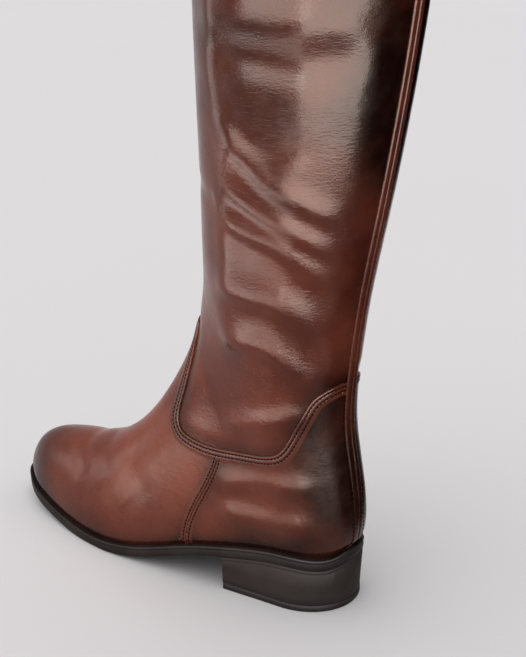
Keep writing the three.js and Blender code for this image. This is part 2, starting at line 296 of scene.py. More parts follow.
def leather(t, theta, lift=0.0):
    """Points on the worn leather's face, lifted off it by lift."""
    points = last_surface(t, theta)
    over_seat = points[..., 2] - seat_z(points[..., 0])
    tuck = TUCK * np.exp(-((np.maximum(0, over_seat) / TUCK_HEIGHT) ** 2))
    out = folds_at(points) - np.where(t < HEEL_ROW + 2, tuck, 0) + lift
    return points + outward(t, theta) * out[..., None]


MILLIMETRE = 0.001


def in_frame(points):
    """Millimetres from the heel seat to metres in the frame."""
    return (np.asarray(points, float) - (HEEL_CENTRE_X, 0, 0)) * MILLIMETRE


MERGE_DISTANCE = 2e-6


def mesh_piece(name, points, faces, material, closed=False, **values):
    """A smooth piece from points in millimetres; values are its attributes, one number a point."""
    mesh = bpy.data.meshes.new(name)
    mesh.from_pydata(in_frame(points).tolist(), [], np.asarray(faces).tolist())
    for key, value in values.items():
        numbers = np.ravel(value).astype(np.float32)
        mesh.attributes.new(key, "FLOAT", "POINT").data.foreach_set("value", numbers)
    shape = bmesh.new()
    shape.from_mesh(mesh)
    bmesh.ops.remove_doubles(shape, verts=shape.verts, dist=MERGE_DISTANCE)
    loose = [v for v in shape.verts if not v.link_faces]
    bmesh.ops.delete(shape, geom=loose, context="VERTS")
    if closed:
        bmesh.ops.recalc_face_normals(shape, faces=shape.faces)
    shape.to_mesh(mesh)
    shape.free()
    mesh.shade_smooth()
    mesh.materials.append(material)
    piece = bpy.data.objects.new(name, mesh)
    bpy.context.scene.collection.objects.link(piece)
    return piece


def grid_faces(rows, columns):
    """Faces of a grid of points, whose normal is rows' direction times columns'."""
    i, j = np.meshgrid(np.arange(rows - 1), np.arange(columns - 1), indexing="ij")
    a = (i * columns + j).ravel()
    return np.stack([a, a + columns, a + columns + 1, a + 1], -1)


def give_wall(piece, thickness):
    """Thickness in millimetres, inwards from the face."""
    wall = piece.modifiers.new("wall", "SOLIDIFY")
    wall.thickness = thickness * MILLIMETRE
    wall.offset = -1


# The foot part's top edge in the side view, from the back seam to the ridge on the shin,
# and the side seam, from that edge down to the sole.
SHAFT_SEAM = [
    (-40, 147), (0, 146), (9, 144.5), (17, 138), (23, 127), (30, 111.5), (36, 102.5), (45, 98), (62, 94.5),
    (90, 91), (110, 92.5), (118, 97), (120, 104), (117, 122), (113.5, 144), (112, 158), (116, 170),
]
SIDE_SEAM = [(83.5, 93), (84.2, 82), (90.5, 66), (98.5, 49.5), (103.5, 35.5), (104.6, 22), (104.8, 8)]
shaft_seam_line = smooth_line(SHAFT_SEAM, 110)
side_seam_line = smooth_line(SIDE_SEAM, 30)


SEAM_LOW_Z, SEAM_MIDDLE_Z, SEAM_HIGH_Z = 70, 130, 190
FAR_FROM_SEAM = 60.0


def above_seam(points):
    """Signed distance from the foot part's top edge, positive on the shaft."""
    x, z = points[..., 0], points[..., 2]
    near = (z > SEAM_LOW_Z) & (z < SEAM_HIGH_Z)
    distance = np.where(z > SEAM_MIDDLE_Z, FAR_FROM_SEAM, -FAR_FROM_SEAM)
    distance[near] = beside(shaft_seam_line, x[near], z[near])[0]
    return distance


def before_side_seam(points):
    """Signed distance from the side seam, positive on the vamp."""
    return beside(side_seam_line, points[..., 0], points[..., 2])[0]


def linear(colour):
    """An sRGB hex colour as linear red, green, blue and alpha."""
    parts = [int(colour[i:i + 2], 16) / 255 for i in (1, 3, 5)]
    return [c / 12.92 if c <= 0.04045 else ((c + 0.055) / 1.055) ** 2.4 for c in parts] + [1.0]


def add(tree, kind, inputs=(), **settings):
    """Adds a node with its settings; inputs are pairs of a socket and its value or source."""
    made = tree.nodes.new(kind)
    for key, value in settings.items():
        setattr(made, key, value)
    for socket, value in inputs:
        if isinstance(value, bpy.types.NodeSocket):
            tree.links.new(value, made.inputs[socket])
        else:
            made.inputs[socket].default_value = value
    return made


def new_material(name):
    """An empty material, its node tree and its Principled shader."""
    material = bpy.data.materials.new(name)
    material.use_nodes = True
    shader = material.node_tree.nodes["Principled BSDF"]
    return material, material.node_tree, shader


def blended(tree, share, first, second):
    """A colour between two, by a share from 0 to 1."""
    mixed = add(tree, "ShaderNodeMix", data_type="RGBA")
    for socket, value in ((0, share), (6, first), (7, second)):
        if isinstance(value, bpy.types.NodeSocket):
            tree.links.new(value, mixed.inputs[socket])
        else:
            mixed.inputs[socket].default_value = value
    return mixed.outputs[2]


def waxed_calf(name, pale, deep, burnt, roughness, specular, grain_depth):
    """Vegetable-tanned calf, waxed and burnished: cloudy brown, darker at the edges, where the burnish
    attribute also carries painted shade.
    """
    material, tree, shader = new_material(name)
    place = add(tree, "ShaderNodeTexCoord").outputs["Object"]
    # Clouds in the dye, 45 mm and 9 mm across.
    wide = add(tree, "ShaderNodeTexNoise", [("Vector", place), ("Scale", 1 / 0.045), ("Detail", 3.0)])
    close = add(tree, "ShaderNodeTexNoise", [("Vector", place), ("Scale", 1 / 0.009), ("Detail", 4.0)])
    cloud = add(tree, "ShaderNodeMapRange", [
        ("Value", wide.outputs["Fac"]), ("From Min", 0.35), ("From Max", 0.65)])
    dyed = blended(tree, cloud.outputs["Result"], linear(pale), linear(deep))
    mottle = add(tree, "ShaderNodeMapRange", [
        ("Value", close.outputs["Fac"]), ("From Min", 0.4), ("From Max", 0.75), ("To Max", 0.35)])
    dyed = blended(tree, mottle.outputs["Result"], dyed, linear(deep))
    # The burnish is worked in by hand, so its edge is uneven; the painted shade in the same attribute is
    # broken up with it.
    edge = add(tree, "ShaderNodeAttribute", attribute_name="burnish")
    uneven = add(tree, "ShaderNodeMath", [(0, wide.outputs["Fac"]), (1, 0.5)], operation="ADD")
    burnish = add(tree, "ShaderNodeMath", [(0, edge.outputs["Fac"]), (1, uneven.outputs[0])],
                  operation="MULTIPLY", use_clamp=True)
    colour = blended(tree, burnish.outputs[0], dyed, linear(burnt))
    tree.links.new(colour, shader.inputs["Base Color"])
    # Hair cells, 0.5 mm on the hide and drawn at 0.9 mm so that they show.
    grain = add(tree, "ShaderNodeTexVoronoi", [("Vector", place), ("Scale", 1 / 0.0009)], feature="F1")
    # Fine creases, 2.5 mm apart, longer across the leg than up it.
    turned = add(tree, "ShaderNodeMapping", [("Vector", place), ("Scale", (0.45, 0.45, 1.2))])
    crease = add(tree, "ShaderNodeTexNoise", [("Vector", turned.outputs[0]), ("Scale", 1 / 0.0025),
                                              ("Detail", 5.0), ("Distortion", 1.2)])
    low = add(tree, "ShaderNodeBump", [("Height", crease.outputs["Fac"]), ("Distance", 0.0004),
                                       ("Strength", grain_depth)])
    high = add(tree, "ShaderNodeBump", [("Height", grain.outputs["Distance"]), ("Distance", 0.0001),
                                        ("Strength", grain_depth * 0.8), ("Normal", low.outputs[0])])
    tree.links.new(high.outputs[0], shader.inputs["Normal"])
    rubbed = add(tree, "ShaderNodeMapRange", [
        ("Value", close.outputs["Fac"]), ("From Min", 0.3), ("From Max", 0.7),
        ("To Min", roughness - 0.05), ("To Max", roughness + 0.08)])
    tree.links.new(rubbed.outputs["Result"], shader.inputs["Roughness"])
    shader.inputs["Specular IOR Level"].default_value = specular
    # The wax is amber, so that what shines in it is warm.
    shader.inputs["Specular Tint"].default_value = linear("#ffecdf")
    return material


# Waxed satin calf: soft wide highlights over a cloudy reddish brown.
FOOT_LEATHER = waxed_calf("waxed_satin_calf", "#83402c", "#6a3021", "#240c08", 0.27, 0.22, 0.2)


# How deep the burnish and the painted shade are at their darkest in each place.
SOLE_BURNISH_AND_SHADE, TOE_BURNISH, EDGE_BURNISH, SIDE_BURNISH = 0.95, 0.7, 0.55, 0.6
HEEL_BURNISH_AND_SHADE, LEG_BURNISH_AND_SHADE, LEG_TOP_BURNISH_AND_SHADE, QUARTER_PAINTED_SHADE, TOP_DARKENING = 0.85, 0.4, 0.4, 0.3, 0.5
# How far it reaches from the sole, the top edge, the side seam, and the back on foot and leg.
SOLE_REACH, EDGE_REACH, SIDE_REACH, HEEL_REACH, LEG_REACH = 13, 7, 8, 21, 14
SIDE_BURNISH_Z, SIDE_BURNISH_X = 95, 60
FIRST_BACK_ROW = 6


def burnish_at(points, t):
    """How dark the hand burnish and the painted shade are, from 0 to 1."""
    x, y, z = np.moveaxis(points, -1, 0)
    over_seat = np.maximum(0, z - seat_z(x))
    from_back = np.maximum(0, x - back_x(z))
    on_foot = above_seam(points) < 0
    # Painted shade low on the foot beside the sole, on top of the burnish there.
    burnish_and_shade_at_sole = np.where(t < HEEL_ROW + 1.5, SOLE_BURNISH_AND_SHADE * np.exp(-over_seat / SOLE_REACH), 0)
    at_toe = TOE_BURNISH * smooth_step(205, 268, x)
    at_edge = EDGE_BURNISH * np.exp(-((above_seam(points) / EDGE_REACH) ** 2))
    by_side = SIDE_BURNISH * np.exp(-((before_side_seam(points) / SIDE_REACH) ** 2))
    at_side = np.where(on_foot & (z < SIDE_BURNISH_Z) & (x > SIDE_BURNISH_X), by_side, 0)
    # Painted shade beside the back seam, on the heel and up the leg, on top of the burnish there.
    up_leg_burnish_and_shade = LEG_BURNISH_AND_SHADE + LEG_TOP_BURNISH_AND_SHADE * smooth_step(200, 300, z)
    on_heel = HEEL_BURNISH_AND_SHADE * np.exp(-((from_back / HEEL_REACH) ** 2))
    burnish_and_shade_at_back = np.where(on_foot, on_heel, up_leg_burnish_and_shade * np.exp(-from_back / LEG_REACH)) * (t > FIRST_BACK_ROW)
    # Painted shade over the quarters, which take less light than the vamp.
    painted_shade_on_quarter = QUARTER_PAINTED_SHADE * (1 - smooth_step(70, 100, x)) * on_foot
    # The leg grows darker towards its top.
    darker_to_top = TOP_DARKENING * smooth_step(225, 320, z)
    return np.clip(burnish_and_shade_at_sole + at_toe + at_edge + at_side + burnish_and_shade_at_back + painted_shade_on_quarter + darker_to_top, 0, 1)


def cut_leather(name, t, theta, keep, lift, material, wall):
    """A leather panel: the part of the worn surface that keep() chooses."""
    grid_t, grid_theta = np.meshgrid(t, theta, indexing="ij")
    flat = last_surface(grid_t, grid_theta)
    points = leather(grid_t, grid_theta, lift(flat))
    # Rows go up and columns from the inner side to the outer, so the order is turned round.
    faces = grid_faces(len(t), len(theta))[:, ::-1]
    middle = flat.reshape(-1, 3)[faces].mean(1)
    side = grid_theta.ravel()[faces].mean(1)
    faces = faces[keep(middle, side)]
    piece = mesh_piece(name, points.reshape(-1, 3), faces, material,
                       burnish=burnish_at(points, grid_t))
    give_wall(piece, wall)
    return piece


FOOT_WALL = 1.1
EDGE_UNDER_BAND = 2.5  # the panels end under the band that is stitched along the top edge
TOE_ROW, FOOT_TOP_ROW = 3, 14.4  # rows lie closer round the toe
foot_t = np.concatenate([np.linspace(0, TOE_ROW, 60)[:-1], np.linspace(TOE_ROW, FOOT_TOP_ROW, 250)])
foot_theta = np.linspace(-1, 1, 181)


def in_foot(middle):
    return above_seam(middle) < -EDGE_UNDER_BAND


def flat_lift(points):
    return np.zeros(points.shape[:-1])


FOOT_PANELS = {
    "vamp": lambda middle, side: in_foot(middle) & (before_side_seam(middle) > 0),
    "quarter_outer": lambda middle, side: in_foot(middle) & (before_side_seam(middle) <= 0) & (side > 0),
    "quarter_inner": lambda middle, side: in_foot(middle) & (before_side_seam(middle) <= 0) & (side < 0),
}
for panel_name, chosen in FOOT_PANELS.items():
    panel = cut_leather(panel_name, foot_t, foot_theta, chosen, flat_lift, FOOT_LEATHER, FOOT_WALL)
    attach(panel, "root")
    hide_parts("upper")

# -------------------------------------------------------------------------------- shaft
# The leg: one hide of glossier calf each side, closed at the back. It slouches a little
# over the ankle, and its lower edge lies under the foot part's edge.

SHAFT_WALL = 1.1
SHAFT_LOW_ROW = 8.6
SHAFT_LAP = 4  # how far its lower edge goes on under the foot part
EDGE_DROP = 0.9  # how far the shaft lies under the foot part where they lap
EDGE_DROP_REACH = 10
GUSSET_BACK_X, GUSSET_FRONT_X, GUSSET_BOTTOM_Z, GUSSET_RADIUS = 10, 55, 316, 10
GUSSET_LAP = 2  # how far the shaft's cut edge lies under the gusset's border

# Polished calf: mirror-like streaks that break up where the hide is creased.
SHAFT_LEATHER = waxed_calf("polished_calf", "#7a3b2a", "#5b271b", "#1a0704", 0.2, 0.22, 0.35)


def in_gusset(x, z, margin):
    """Whether side-view points are in the gusset's outline grown by a margin."""
    radius = GUSSET_RADIUS + margin
    low_x, high_x = GUSSET_BACK_X - margin, GUSSET_FRONT_X + margin
    inside = (x > low_x) & (x < high_x) & (z > GUSSET_BOTTOM_Z - margin)
    corner_x, corner_z = GUSSET_BACK_X + GUSSET_RADIUS, GUSSET_BOTTOM_Z + GUSSET_RADIUS
    outside_corner = (x < corner_x) & (z < corner_z) & (np.hypot(x - corner_x, z - corner_z) > radius)
    return inside & ~outside_corner


def shaft_lift(points):
    return -EDGE_DROP * (1 - smooth_step(0, EDGE_DROP_REACH, above_seam(points)))


def in_shaft(middle, side):
    cut_out = (side < 0) & in_gusset(middle[:, 0], middle[:, 2], -GUSSET_LAP)
    return (above_seam(middle) > -SHAFT_LAP) & ~cut_out


shaft = cut_leather("shaft_leather", np.linspace(SHAFT_LOW_ROW, LAST_ROW, 300), np.linspace(-1, 1, 151),
                    in_shaft, shaft_lift, SHAFT_LEATHER, SHAFT_WALL)
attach(shaft, "root")
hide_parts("shaft")

# ------------------------------------------------------------------------ top edge band
# Along its top the foot part is folded over and laid on the shaft, and two rows of thread
# hold it down, so that the leather between them puffs up.

DENSE_ROWS = 3601
dense_t = np.linspace(0, LAST_ROW, DENSE_ROWS)
dense_rows = section_at(dense_t)


def locate(x, z):
    """The row t and the angle theta at side-view points."""
    x, z = np.ravel(x)[:, None], np.ravel(z)[:, None]
    run_x = dense_rows[:, LOW_X] - dense_rows[:, TOP_X]
    run_z = dense_rows[:, LOW_Z] - dense_rows[:, TOP_Z]
    off_x, off_z = x - dense_rows[:, TOP_X], z - dense_rows[:, TOP_Z]
    side = run_x * off_z - run_z * off_x
    d = (off_x * run_x + off_z * run_z) / np.maximum(1e-9, run_x**2 + run_z**2)
    crossing = (side[:, :-1] * side[:, 1:] <= 0) & (d[:, :-1] > -0.05) & (d[:, :-1] < 1.05)
    i = crossing.argmax(1)
    k = np.arange(len(i))
    share = side[k, i] / np.where(side[k, i] == side[k, i + 1], 1, side[k, i] - side[k, i + 1])
    t = dense_t[i] + share * (dense_t[i + 1] - dense_t[i])
    d = np.clip(d[k, i] + share * (d[k, i + 1] - d[k, i]), 0, 1)
    return t, np.arccos(1 - 2 * d) / np.pi


def even_path(t, theta, spacing):
    """The same path on the surface, with its points a spacing apart."""
    points = last_surface(t, theta)
    length = np.concatenate([[0], np.cumsum(np.linalg.norm(np.diff(points, axis=0), axis=1))])
    at = np.linspace(0, length[-1], int(round(length[-1] / spacing)) + 1)
    return np.interp(at, length, t), np.interp(at, length, theta)


def moved_across(t, theta, distance):
    """A path moved over the surface, to its left as seen from outside."""
    points = last_surface(t, theta)
    forward = unit(np.gradient(points, axis=0))
    left = np.cross(outward(t, theta), forward)
    along, around = slopes(t, theta)
    a, b, c = (along * along).sum(-1), (along * around).sum(-1), (around * around).sum(-1)
    p, q = (along * left).sum(-1), (around * left).sum(-1)
    size = np.maximum(1e-9, a * c - b * b)
    moved_t = t + distance * (c * p - b * q) / size
    moved_theta = theta + distance * (a * q - b * p) / size
    return np.clip(moved_t, 0, LAST_ROW), np.clip(moved_theta, -1, 1)


def strip(name, t, theta, profile, material, wall, dark):
    """A strip along a path, from pairs of how far across and how high; each may be an array.
    Dark is its burnish and painted shade, one number for each pair."""
    rows = []
    for distance, lift in profile:
        moved_t, moved_theta = moved_across(t, theta, distance)
        rows.append(leather(moved_t, moved_theta, lift + np.zeros(len(t))))
    points = np.stack(rows, 1)
    burnish = np.zeros(points.shape[:-1]) + dark
    faces = grid_faces(len(t), len(rows))
    piece = mesh_piece(name, points.reshape(-1, 3), faces, material, burnish=burnish)
    give_wall(piece, wall)
    return piece


SEAM_DARK, SEAM_DARK_REACH = 0.95, 0.7


def dark_rows(profile, seams, base):
    """The burnish across a strip: dark along its seams, and fading out with its base."""
    across = np.array([distance for distance, _ in profile])
    dark = base.copy()
    for seam in seams:
        dark = np.maximum(dark, SEAM_DARK * np.exp(-(((across - seam) / SEAM_DARK_REACH) ** 2)))
    return dark


UNDER_STRIP_X = 5.5  # the band starts here, under the back strip
ON_RIDGE = 0.03
PATH_SPACING = 1.0
BAND_WALL = 0.4
seam_inside = shaft_seam_line[(shaft_seam_line[:, 0] > UNDER_STRIP_X)]
edge_t, edge_theta = locate(seam_inside[:, 0], seam_inside[:, 1])
first_on_ridge = np.argmax(edge_theta < ON_RIDGE) or len(edge_theta)
edge_t, edge_theta = edge_t[:first_on_ridge], edge_theta[:first_on_ridge]
ridge_t = edge_t[-1] + 0.02
edge_t = np.concatenate([[edge_t[0]], edge_t, [ridge_t], edge_t[::-1], [edge_t[0]]])
edge_theta = np.concatenate([[1], edge_theta, [0], -edge_theta[::-1], [-1]])
# Its ends lie under the back strips.
edge_t, edge_theta = (values[2:-2] for values in even_path(edge_t, edge_theta, PATH_SPACING))
EDGE_PROFILE = [
    (-0.25, -1.1), (-0.3, -0.5), (-0.25, 0.0), (0.0, 0.25), (0.35, 0.36), (0.8, 0.34), (1.3, 0.2),
    (1.6, 0.08), (1.9, 0.2), (2.4, 0.4), (3.0, 0.46), (3.6, 0.4), (4.1, 0.2), (4.4, 0.08), (4.7, 0.2),
    (5.3, 0.26), (6.2, 0.18), (7.4, 0.04), (8.6, -0.2),
]
EDGE_ROWS = (1.6, 4.4)  # where its two rows of thread run
edge_across = np.array([distance for distance, _ in EDGE_PROFILE])
edge_dark = dark_rows(EDGE_PROFILE, EDGE_ROWS, 0.5 - 0.3 * smooth_step(4.5, 8.6, edge_across))
edge_band = strip("top_edge_band", edge_t, edge_theta, EDGE_PROFILE, FOOT_LEATHER, BAND_WALL, edge_dark)
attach(edge_band, "root")
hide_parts("upper")

# --------------------------------------------------------------------------- side seams
# The vamp and each quarter are sewn face to face and opened flat, which leaves a groove
# between two soft ridges, and a row of thread holds down each side.

SIDE_SEAM_TOP_Z = 88  # it starts under the band
side_t, side_theta = locate(side_seam_line[:, 0], side_seam_line[:, 1])
side_x, side_z = side_seam_line.T
inside = (side_z > seat_z(side_x) + 0.5) & (side_z < SIDE_SEAM_TOP_Z)
side_t, side_theta = even_path(side_t[inside], side_theta[inside], PATH_SPACING)
SIDE_PROFILE = [(-5.2, -0.2), (-4, 0.04), (-3, 0.2), (-2.4, 0.2), (-2.0, 0.08), (-1.6, 0.2), (-1.0, 0.36),
                (-0.5, 0.26), (-0.2, 0.0), (0, -0.2)]
SIDE_PROFILE += [(-distance, lift) for distance, lift in SIDE_PROFILE[-2::-1]]
SIDE_ROWS = (-2.0, 2.0)
side_dark = dark_rows(SIDE_PROFILE, (*SIDE_ROWS, 0), np.full(len(SIDE_PROFILE), 0.55))
for seam_name, sign in (("side_seam_outer", 1), ("side_seam_inner", -1)):
    seam = strip(seam_name, side_t, sign * side_theta, SIDE_PROFILE, FOOT_LEATHER, BAND_WALL, side_dark)
    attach(seam, "root")
    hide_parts("upper")

# -------------------------------------------------------------------------- back strips
# Two rolled strips of the shaft's leather run down the back seam, one each side of it, and
# flatten out above the heel, where the quarters are closed edge to edge.

STRIP_MIDDLE = 2.75  # from the back seam to the middle of a strip
STRIP_HALF = 2.35
STRIP_HEIGHT = 1.25
FLAT_HEIGHT = 0.35
STRIP_WALL = 0.5
FLAT_BELOW_Z, FULL_ABOVE_Z = 66, 96
strip_t = np.linspace(LAST_ROW, HEEL_ROW + 0.02, 420)
_, seam_around = slopes(strip_t, np.full(len(strip_t), 1 - 2 * PARAMETER_STEP))
to_middle = STRIP_MIDDLE / np.linalg.norm(seam_around, axis=-1)
strip_z = last_surface(strip_t, np.ones(len(strip_t)))[:, 2]
full = smooth_step(FLAT_BELOW_Z, FULL_ABOVE_Z, strip_z)
strip_height = FLAT_HEIGHT + (STRIP_HEIGHT - FLAT_HEIGHT) * full
# Burnish along the back strips, with painted shade added on their lower part, as beside the heel.
strip_burnish_and_shade = (0.3 + 0.5 * (1 - smooth_step(110, 165, strip_z)))[:, None]
BACK_SHAPE = [(-1, -0.3), (-0.97, 0.2), (-0.88, 0.56), (-0.7, 0.82), (-0.45, 0.96), (-0.15, 1.0), (0.15, 1.0),
              (0.45, 0.96), (0.7, 0.82), (0.88, 0.56), (0.97, 0.2), (1, -0.3)]
for strip_name, sign in (("back_strip_outer", 1), ("back_strip_inner", -1)):
    back_profile = [(across * STRIP_HALF, up * strip_height) for across, up in BACK_SHAPE]
    back_strip = strip(strip_name, strip_t, sign * (1 - to_middle), back_profile, SHAFT_LEATHER,
                       STRIP_WALL, strip_burnish_and_shade)
    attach(back_strip, "root")
    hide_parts("shaft")

# ------------------------------------------------------------------------------- gusset
# A panel of ribbed elastic let into the top of the inner side, so that the shaft stretches
# over the calf. Its cords run up the leg, 1.4 mm apart.

RIB_SPACING = 1.4
GUSSET_DEPTH = 0.5  # how far the elastic lies under the leather's face

elastic, tree, shader = new_material("woven_elastic")
# Cotton over rubber: matt and almost black, with a slight green cast.
place = add(tree, "ShaderNodeTexCoord").outputs["Object"]
# Lint, about 0.3 mm, drawn at 1.2 mm so that it shows.
fuzz = add(tree, "ShaderNodeTexNoise", [("Vector", place), ("Scale", 1 / 0.0012), ("Detail", 4.0)])
linty = blended(tree, fuzz.outputs["Fac"], linear("#131512"), linear("#2b2e28"))
tree.links.new(linty, shader.inputs["Base Color"])
# The weft crosses the cords every 0.6 mm, drawn every 1.3 mm so that it shows: a wave
# texture's bands lie 0.314 of its unit apart.
weave = add(tree, "ShaderNodeTexWave", [("Vector", place), ("Scale", 1 / 0.004), ("Distortion", 0.4)],
            bands_direction="Z")
woven = add(tree, "ShaderNodeBump", [
    ("Height", weave.outputs["Fac"]), ("Distance", 0.0002), ("Strength", 0.5)])
tree.links.new(woven.outputs[0], shader.inputs["Normal"])
shader.inputs["Roughness"].default_value = 0.85
shader.inputs["Sheen Weight"].default_value = 0.15

COLLAR_Z = 414.5
ELASTIC_WALL = 0.4
UNDER_CORDS = 0.25  # the panel lies this far below the cords' middle
panel_x = np.linspace(GUSSET_BACK_X - 1, GUSSET_FRONT_X + 1, 60)
panel_z = np.linspace(GUSSET_BOTTOM_Z - 1, COLLAR_Z, 90)
grid_x, grid_z = np.meshgrid(panel_x, panel_z)
panel_t, panel_theta = locate(grid_x, grid_z)
panel_points = leather(panel_t, -panel_theta, np.full(panel_t.shape, -GUSSET_DEPTH - UNDER_CORDS))
panel_faces = grid_faces(len(panel_z), len(panel_x))[:, ::-1]
centre = np.stack([grid_x.ravel(), grid_z.ravel()], -1)[panel_faces].mean(1)
panel_faces = panel_faces[in_gusset(centre[:, 0], centre[:, 1], 1)]
panel = mesh_piece("gusset_elastic", panel_points, panel_faces, elastic)
give_wall(panel, ELASTIC_WALL)
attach(panel, "root")
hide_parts("stretch_gusset")


def path_object(name, paths):
    """Paths as edges, each point with the direction out of the leather."""
    mesh = bpy.data.meshes.new(name)
    points = np.concatenate([p for p, _ in paths])
    edges, start = [], 0
    for p, _ in paths:
        edges += [(start + i, start + i + 1) for i in range(len(p) - 1)]
        start += len(p)
    mesh.from_pydata(in_frame(points).tolist(), edges, [])
    normals = np.concatenate([n for _, n in paths]).astype(np.float32)
    stored = mesh.attributes.new("outward", "FLOAT_VECTOR", "POINT")
    stored.data.foreach_set("vector", normals.ravel())
    made = bpy.data.objects.new(name, mesh)
    bpy.context.scene.collection.objects.link(made)
    return made


def grown(source, tree, values):
    """Runs a Geometry Nodes tree on an object and keeps its result as a plain mesh."""
    modifier = source.modifiers.new("grown", "NODES")
    modifier.node_group = tree
    for item in tree.interface.items_tree:
        if item.item_type == "SOCKET" and item.in_out == "INPUT" and item.name in values:
            modifier[item.identifier] = values[item.name]
    bpy.context.view_layer.update()
    evaluated = source.evaluated_get(bpy.context.evaluated_depsgraph_get())
    mesh = bpy.data.meshes.new_from_object(evaluated)
    name = source.name
    old = source.data
    source.modifiers.remove(modifier)
    source.data = mesh
    bpy.data.meshes.remove(old)
    mesh.name = name
    mesh.shade_smooth()
    mesh.materials.clear()
    mesh.materials.append(values["Material"])
    mesh.polygons.foreach_set("material_index", [0] * len(mesh.polygons))
    return source


def new_tree(name, sizes):
    """A Geometry Nodes tree with a geometry, named lengths and a material as its inputs."""
    tree = bpy.data.node_groups.new(name, "GeometryNodeTree")
    tree.interface.new_socket("Geometry", in_out="INPUT", socket_type="NodeSocketGeometry")
    for size in sizes:
        tree.interface.new_socket(size, in_out="INPUT", socket_type="NodeSocketFloat")
    tree.interface.new_socket("Material", in_out="INPUT", socket_type="NodeSocketMaterial")
    tree.interface.new_socket("Geometry", in_out="OUTPUT", socket_type="NodeSocketGeometry")
    return tree, tree.nodes.new("NodeGroupInput").outputs


def end_tree(tree, geometry, material):
    """Ends a tree in real geometry with its material."""
    real = add(tree, "GeometryNodeRealizeInstances", [(0, geometry)])
    painted = add(tree, "GeometryNodeSetMaterial", [("Geometry", real.outputs[0]), ("Material", material)])
    add(tree, "NodeGroupOutput", [(0, painted.outputs[0])])


cord_tree, given = new_tree("elastic_cords", ["Cord width"])
cord_line = add(cord_tree, "GeometryNodeMeshToCurve", [("Mesh", given["Geometry"])])
cord_round = add(cord_tree, "GeometryNodeCurvePrimitiveCircle", [("Resolution", 7)])
cord_size = add(cord_tree, "ShaderNodeMath", [(0, given["Cord width"]), (1, 0.5)], operation="MULTIPLY")
cord_tree.links.new(cord_size.outputs[0], cord_round.inputs["Radius"])
cord_made = add(cord_tree, "GeometryNodeCurveToMesh", [("Curve", cord_line.outputs[0]),
                                                       ("Profile Curve", cord_round.outputs[0]),
                                                       ("Fill Caps", True)])
end_tree(cord_tree, cord_made.outputs[0], given["Material"])

CORD_POINTS = 30
CORD_WIDTH = 0.0013
cords = []
for x in np.arange(GUSSET_BACK_X + 0.7, GUSSET_FRONT_X, RIB_SPACING):
    corner = max(0.0, GUSSET_BACK_X + GUSSET_RADIUS - x)
    low_z = GUSSET_BOTTOM_Z + GUSSET_RADIUS - math.sqrt(max(0.0, GUSSET_RADIUS**2 - corner**2))
    cord_z = np.linspace(low_z, COLLAR_Z - 0.6, CORD_POINTS)
    cord_t, cord_theta = locate(np.full(CORD_POINTS, x), cord_z)
    cord_points = leather(cord_t, -cord_theta, np.full(CORD_POINTS, -GUSSET_DEPTH))
    cords.append((cord_points, outward(cord_t, -cord_theta)))
CORD = {"Cord width": CORD_WIDTH, "Material": elastic}
ribs = grown(path_object("gusset_cords", cords), cord_tree, CORD)
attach(ribs, "root")
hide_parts("stretch_gusset")

# The border: the shaft's leather is folded under round the elastic and sewn down.
corner_turn = np.linspace(0, math.pi / 2, 10)
border_line = [(GUSSET_BACK_X, COLLAR_Z)]
border_line += [(GUSSET_BACK_X, z) for z in (400, 380, 360, 340)]
corner_out = [(1 - math.cos(u), 1 - math.sin(u)) for u in corner_turn]
border_line += [(GUSSET_BACK_X + GUSSET_RADIUS * x, GUSSET_BOTTOM_Z + GUSSET_RADIUS * z)
                for x, z in corner_out]
border_line += [(x, GUSSET_BOTTOM_Z) for x in (30, 40, 48)]
border_line += [(GUSSET_FRONT_X - 3, GUSSET_BOTTOM_Z), (GUSSET_FRONT_X, GUSSET_BOTTOM_Z + 3)]
border_line += [(GUSSET_FRONT_X, z) for z in (330, 350, 370, 390, COLLAR_Z)]
border_xz = smooth_line(border_line, 240)
border_t, border_theta = locate(border_xz[:, 0], border_xz[:, 1])
BORDER_PROFILE = [(2.9, -1.2), (3.0, -0.5), (2.9, 0.1), (2.5, 0.4), (1.6, 0.42), (0.9, 0.26), (0.3, 0.4),
                  (-1.2, 0.42), (-2.6, 0.2), (-3.6, -0.15)]
border = strip("gusset_border", border_t, -border_theta, BORDER_PROFILE[::-1], SHAFT_LEATHER, BAND_WALL, 0.5)
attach(border, "root")
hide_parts("shaft")

# ------------------------------------------------------------------------------- collar
# The shaft's top edge is folded over the lining and sewn down with one row of thread.

collar_theta = np.linspace(-1, 1, 361)
collar_t = np.full(len(collar_theta), float(LAST_ROW))
collar_rim = leather(collar_t, collar_theta)
collar_out = outward(collar_t, collar_theta) * (1, 1, 0)
collar_out = unit(collar_out)
COLLAR_THREAD_DROP = 5.4
COLLAR_WALL = 0.35
COLLAR_PROFILE = [(0.0, -8.2), (0.42, -7.6), (0.5, -6.4), (0.42, -5.4), (0.5, -4.4), (0.6, -2), (0.5, -0.6),
                  (0.1, 0.1), (-0.6, 0.4), (-1.3, 0.4), (-2.0, 0.05), (-2.4, -0.6), (-2.45, -2),
                  (-2.4, -6), (-2.1, -7)]
collar_rows = [collar_rim + collar_out * out + np.array([0, 0, up]) for out, up in COLLAR_PROFILE]
collar_points = np.stack(collar_rows, 0)
collar = mesh_piece("collar_edge", collar_points.reshape(-1, 3),
                    grid_faces(len(COLLAR_PROFILE), len(collar_theta))[:, ::-1], SHAFT_LEATHER,
                    burnish=np.full(collar_points.shape[:-1], 0.5))
give_wall(collar, COLLAR_WALL)
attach(collar, "root")
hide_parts("shaft")

# ------------------------------------------------------------------------------- thread
# Waxed polyester thread, nearly black, in lockstitch. The real stitches are 2.1 mm apart
# and 0.6 mm thick, and both are drawn a little coarser so that they show.

thread, tree, shader = new_material("waxed_thread")
# The wax leaves a dull shine on a twisted, nearly black brown.
place = add(tree, "ShaderNodeTexCoord").outputs["Object"]
